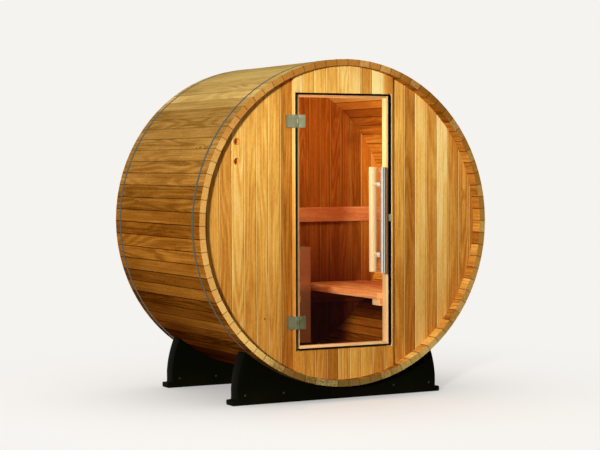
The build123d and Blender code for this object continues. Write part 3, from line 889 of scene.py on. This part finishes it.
class SAUNA_OT_stove(bpy.types.Operator):
    """Stove of polished sheet with a heap of stones"""
    bl_idname = "sauna.stove"
    bl_label = "Stove"

    def execute(self, context):
        fittings = context.scene.sauna_fittings
        sheet = stove_material(fittings.stove)
        low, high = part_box("heater_body")
        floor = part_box("heater_stones")[0].z
        sheet_high = high - Vector((0, 0, 0.016))
        self.casing(sheet, low, sheet_high, floor)
        self.rim(sheet, low, sheet_high)
        self.stones(stone_material(fittings.stone), low, high)
        return {"FINISHED"}

    def casing(self, sheet, low, high, floor):
        """Open box of thin sheet, round at its two front corners, with a plate below the stones."""
        bm = bmesh.new()
        shell = add_box(bm, low, high)
        middle = (low.y + high.y) / 2
        rounded(bm, [edge for edge in self.uprights(shell) if edge.verts[0].co.y < middle], 0.012, 4)
        bmesh.ops.delete(bm, geom=level_caps(bm), context="FACES_ONLY")
        bmesh.ops.solidify(bm, geom=bm.faces[:], thickness=0.002)
        inset = 0.003
        add_box(bm, (low.x + inset, low.y + inset, floor - 0.003),
                (high.x - inset, high.y - inset, floor - 0.001))
        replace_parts(piece("stove_casing", bm, sheet), "heater_body")

    def rim(self, sheet, low, high):
        """Thicker band round the top edge."""
        bm = bmesh.new()
        outer = add_box(bm, (low.x - 0.001, low.y - 0.0015, high.z - 0.022),
                        (high.x + 0.001, high.y - 0.0005, high.z))
        rounded(bm, self.uprights(outer), 0.0125, 4)
        for cap in level_caps(bm):
            bmesh.ops.inset_region(bm, faces=[cap], thickness=0.006, depth=0)
        caps = [face for face in level_caps(bm) if len(face.verts) > 8]
        loops = [edge for cap in caps for edge in cap.edges]
        bmesh.ops.delete(bm, geom=caps, context="FACES_ONLY")
        bmesh.ops.bridge_loops(bm, edges=loops)
        piece("stove_rim", bm, sheet)

    def uprights(self, vertices):
        """The edges whose ends are at different heights."""
        return [edge for edge in edges_of(vertices) if abs(edge.verts[0].co.z - edge.verts[1].co.z) > 0.011]

    def stones(self, rough, low, high):
        """Two layers of lumps, turned and squashed at random."""
        draw = random.Random(11)
        bm = bmesh.new()
        columns, lines = 6, 4
        margin, reach = 0.006, 0.039
        for layer, height in enumerate((high.z - 0.085, high.z - 0.034)):
            for column in range(columns):
                for line in range(lines):
                    radius = draw.uniform(0.026, 0.033)
                    fraction = ((column + 0.5 + 0.25 * layer * draw.uniform(-1, 1)) / columns,
                                (line + 0.5 + draw.uniform(-0.12, 0.12)) / lines)
                    centre = Vector((0, 0, height + draw.uniform(-0.006, 0.006)))
                    for axis in range(2):
                        spot = low[axis] + margin + (high[axis] - low[axis] - 2 * margin) * fraction[axis]
                        centre[axis] = min(max(spot, low[axis] + reach), high[axis] - reach)
                    stone = bmesh.ops.create_icosphere(bm, subdivisions=2, radius=radius)["verts"]
                    offset = Vector([draw.uniform(-50, 50) for _ in range(3)])
                    ranges = ((0.85, 1.05), (0.8, 1.0), (0.65, 0.9))
                    squash = Vector([draw.uniform(least, most) for least, most in ranges])
                    for vertex in stone:
                        lump = 1 + 0.22 * noise.noise(vertex.co * 42 + offset)
                        vertex.co = vertex.co * squash * lump
                    turn = draw.uniform(0, tau)
                    pole = Vector((draw.uniform(-1, 1), draw.uniform(-1, 1), 1)).normalized()
                    bmesh.ops.rotate(bm, cent=(0, 0, 0), matrix=Matrix.Rotation(turn, 3, pole), verts=stone)
                    bmesh.ops.translate(bm, vec=centre, verts=stone)
        for vertex in bm.verts:
            vertex.co.z = min(vertex.co.z, high.z - 0.001)
        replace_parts(piece("stove_stones", bm, rough, smooth_angle=50), "heater_stones")


class SAUNA_OT_door_leaf(bpy.types.Operator):
    """Bronze glass in its black rubber seal, with the catch plate"""
    bl_idname = "sauna.door_leaf"
    bl_label = "Door leaf"

    def execute(self, context):
        fittings = context.scene.sauna_fittings
        assign(["door_glass"], glass_material(fittings.glass))
        low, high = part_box("door_seal")
        lip, side, below, above = 0.012, 0.005, 0.0075, 0.0055
        lips = [(0, low.x + lip, low.x + side), (0, high.x - lip, high.x - side),
                (2, low.z + lip, low.z + below), (2, high.z - lip, high.z - above)]
        softened("door_seal", 0.0003, rubber_material(fittings.rubber), "door", moved=lips)
        steel = brushed_material("catch_steel", fittings.steel, 0.45, "Z", 0.4)
        softened("door_catch_plate", 0.0008, steel, "door")
        return {"FINISHED"}


class SAUNA_OT_hinges(bpy.types.Operator):
    """Hinge leaves with eased edges, their pins and screws"""
    bl_idname = "sauna.hinges"
    bl_label = "Hinges"

    def execute(self, context):
        fittings = context.scene.sauna_fittings
        steel = brushed_material("hinge_steel", fittings.steel, 0.45, "Z", 0.45, 0.95)
        dull = brushed_material("hinge_wall_steel", scaled(fittings.steel, 0.62), 0.5, "Z", 0.45, 0.5)
        softened("hinge_frame_leaves", 0.0007, dull)
        for name in ("hinge_glass_leaves", "hinge_clamp_plates"):
            softened(name, 0.0007, steel, "door")
        assign(["hinge_pins"], steel)
        low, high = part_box("hinge_frame_leaves")
        clamp_low, clamp_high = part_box("hinge_clamp_plates")
        leaf_face, clamp_middle = FRAME_FACE - 0.005, (clamp_low.x + clamp_high.x) / 2
        for name, body, columns, rise, face, outward in (
            ("hinge_frame_screws", "cabin", (low.x + 0.010, low.x + 0.031), 0.026, leaf_face, -1),
            ("hinge_clamp_screws", "door", (clamp_middle,), 0.02, clamp_high.y, 1),
        ):
            bm = bmesh.new()
            for middle in (low.z + fittings.leaf_height / 2, high.z - fittings.leaf_height / 2):
                for x in columns:
                    for z in (middle - rise, middle + rise):
                        add_screw(bm, (x, face, z), (0, outward, 0), fittings.screw_radius)
            piece(name, bm, steel, body)
        return {"FINISHED"}


class SAUNA_OT_handle(bpy.types.Operator):
    """Polished bar outside, wooden bar inside, with rings where the stand-offs meet the glass"""
    bl_idname = "sauna.handle"
    bl_label = "Handle"

    def execute(self, context):
        fittings, wood = context.scene.sauna_fittings, context.scene.sauna_wood
        chrome = chrome_material(fittings.chrome)
        satin = brushed_material("satin_steel", fittings.chrome, 0.35, "Y", 0.35)
        assign(["door_handle_standoffs"], satin)
        bars = {
            "door_handle_outside": ("handle_tube", chrome, "polished_steel", 0.002),
            "door_handle_inside": ("handle_rod", rod_material(wood.handle), "handle_wood", 0.004),
        }
        for node_name, (name, material, slot, easing) in bars.items():
            low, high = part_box(node_name)
            x, y = (low.x + high.x) / 2, (low.y + high.y) / 2
            bm = bmesh.new()
            add_round(bm, (high.x - low.x) / 2, (x, y, low.z), (x, y, high.z), 64)
            rounded(bm, sharp_edges(bm, 60), easing, 4)
            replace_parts(piece(name, bm, material, "door"), node_name)
        low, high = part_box("door_handle_standoffs")
        glass_low, glass_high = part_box("door_glass")
        x, half = (low.x + high.x) / 2, (high.x - low.x) / 2
        bm = bmesh.new()
        for z in (low.z + half, high.z - half):
            for start, outward in ((glass_low.y, -1), (glass_high.y, 1)):
                end = start + outward * 0.005
                ring = add_round(bm, fittings.rosette_radius, (x, start, z), (x, end, z), 40)
                far = [edge for edge in edges_of(ring)
                       if all(abs(vertex.co.y - start) > 0.004 for vertex in edge.verts)]
                rounded(bm, far, 0.0015, 3)
        piece("handle_rosettes", bm, satin, "door")
        return {"FINISHED"}


class SAUNA_OT_stage(bpy.types.Operator):
    """Pale floor, soft light and the camera"""
    bl_idname = "sauna.stage"
    bl_label = "Floor, light and camera"

    def execute(self, context):
        scene, settings = context.scene, context.scene.sauna_stage
        scene.view_settings.view_transform = "Standard"
        self.floor(settings)
        self.world(scene, settings)
        key = bpy.data.lights.new("key_lamp", "AREA")
        key.energy, key.shape, key.size = settings.key_power, "DISK", 0.9
        place = Vector((-7.8, -8.96, 2.25))
        aim = (Vector((0, 0, AXIS_HEIGHT)) - place).to_track_quat("-Z", "Y").to_matrix().to_4x4()
        self.put("key_lamp", key, Matrix.Translation(place) @ aim).visible_glossy = False
        inside = bpy.data.lights.new("room_lamp", "POINT")
        inside.energy, inside.color, inside.shadow_soft_size = settings.room_power, settings.room_colour, 0.12
        bulb = self.put("room_lamp", inside, Matrix.Translation((-0.08, -0.26, AXIS_HEIGHT + 0.42)))
        bulb.visible_glossy = bulb.visible_transmission = bulb.visible_camera = False
        lens = bpy.data.cameras.new("camera")
        lens.lens, lens.sensor_width, lens.clip_end = settings.focal_length, 36.0, 200
        scene.camera = self.put(
            "camera", lens,
            Matrix.Translation(settings.camera_place)
            @ Matrix.Rotation(-settings.camera_turn, 4, "Z")
            @ Matrix.Rotation(radians(90) + settings.camera_tilt, 4, "X")
            @ Matrix.Rotation(settings.camera_roll, 4, "Z"),
        )
        return {"FINISHED"}

    def put(self, name, data, matrix):
        """A lamp, camera or mesh set down in the scene."""
        made = bpy.data.objects.new(name, data)
        made.matrix_world = matrix
        bpy.context.scene.collection.objects.link(made)
        return made

    def bright(self, tree, way):
        """How bright polished steel and glass mirror the stage: dark and light bands all round."""
        place = way.split()
        around = (place["X"].do("ARCTAN2", place["Y"] * -1.0) + pi) / tau
        bands = [(-180, 0.0), (-40, 0.78), (-20, 0.96), (-4, 0.0), (17, 0.97), (140, 0.2)]
        stops = [((degrees + 180) / 360, grey(depth)) for degrees, depth in bands]
        dimmed = tree.ramp(around, stops, "CONSTANT")
        return 1.0 - dimmed * tree.value("LightPath", out="Is Glossy Ray")

    def seen(self, tree):
        """1 for rays that show a surface to the camera, directly, in a mirror or through glass."""
        ray = tree.values("LightPath")
        shown = ray["Is Camera Ray"].do("MAXIMUM", ray["Is Glossy Ray"])
        return shown.do("MAXIMUM", ray["Is Transmission Ray"])

    def floor(self, settings):
        """Matt floor that glows into the backdrop away from the barrel."""
        bm = bmesh.new()
        bmesh.ops.create_grid(bm, x_segments=1, y_segments=1, size=40)
        data = bpy.data.meshes.new("floor")
        bm.to_mesh(data)
        bm.free()
        floor = self.put("floor", data, Matrix())
        tree = MaterialTree("floor")
        seen = self.seen(tree)
        place = tree.coordinates()
        tree.finish({
            "Base Color": tree.mix(seen, grey(0.12), scaled(settings.background, 0.97)),
            "Roughness": 1.0,
            "Specular IOR Level": 0.0,
        })
        far = place.vector("LENGTH", out="Value").remap(0.6, 3.2, 0.35, 1.0, smooth=True)
        bright = self.bright(tree, place.vector("NORMALIZE"))
        glow = tree.value("Emission", {"Color": settings.background, "Strength": bright})
        data.materials.append(tree.blend(far * seen, glow))

    def world(self, scene, settings):
        """Light from above, behind and the right, which the camera sees as the plain backdrop."""
        scene.world = bpy.data.worlds.new("studio")
        scene.world.use_nodes = True
        tree = Tree(scene.world.node_tree)
        tree.data.nodes.clear()
        way = tree.coordinates("Generated")
        above, behind, beside = (way.split()[axis].do("MAXIMUM") for axis in "ZYX")
        sky = above.do("POWER", 3.0) * 3.0 + behind * 2.2 + beside * 0.9 + 0.08
        light = tree.value("Background", {"Color": grey(1.0), "Strength": sky * settings.sky_strength})
        shown = tree.value("Background", {"Color": settings.background, "Strength": self.bright(tree, way)})
        tree.add("OutputWorld", {"Surface": tree.value("MixShader", {0: self.seen(tree), 1: light, 2: shown})})


class SAUNA_PT_panel(bpy.types.Panel):
    """Lists the operators and the settings"""
    bl_label = "Barrel sauna"
    bl_space_type = "VIEW_3D"
    bl_region_type = "UI"
    bl_category = "Sauna"

    def draw(self, context):
        for operator in OPERATORS:
            self.layout.operator(operator.bl_idname)
        for settings in (context.scene.sauna_wood, context.scene.sauna_fittings, context.scene.sauna_stage):
            box = self.layout.box()
            for name in settings.__annotations__:
                box.prop(settings, name)


OPERATORS = (
    SAUNA_OT_barrel, SAUNA_OT_door_frame, SAUNA_OT_benches, SAUNA_OT_hoops, SAUNA_OT_cradles, SAUNA_OT_stove,
    SAUNA_OT_door_leaf, SAUNA_OT_hinges, SAUNA_OT_handle, SAUNA_OT_stage,
)
CLASSES = (SaunaWood, SaunaFittings, SaunaStage, *OPERATORS, SAUNA_PT_panel)


def register():
    for made in CLASSES:
        bpy.utils.register_class(made)
    bpy.types.Scene.sauna_wood = PointerProperty(type=SaunaWood)
    bpy.types.Scene.sauna_fittings = PointerProperty(type=SaunaFittings)
    bpy.types.Scene.sauna_stage = PointerProperty(type=SaunaStage)


def unregister():
    for name in ("sauna_wood", "sauna_fittings", "sauna_stage"):
        delattr(bpy.types.Scene, name)
    for made in reversed(CLASSES):
        bpy.utils.unregister_class(made)


def main():
    """Makes everything, running the operators in order."""
    register()
    for operator in OPERATORS:
        group, name = operator.bl_idname.split(".")
        getattr(getattr(bpy.ops, group), name)()


if __name__ == "__main__":
    main()
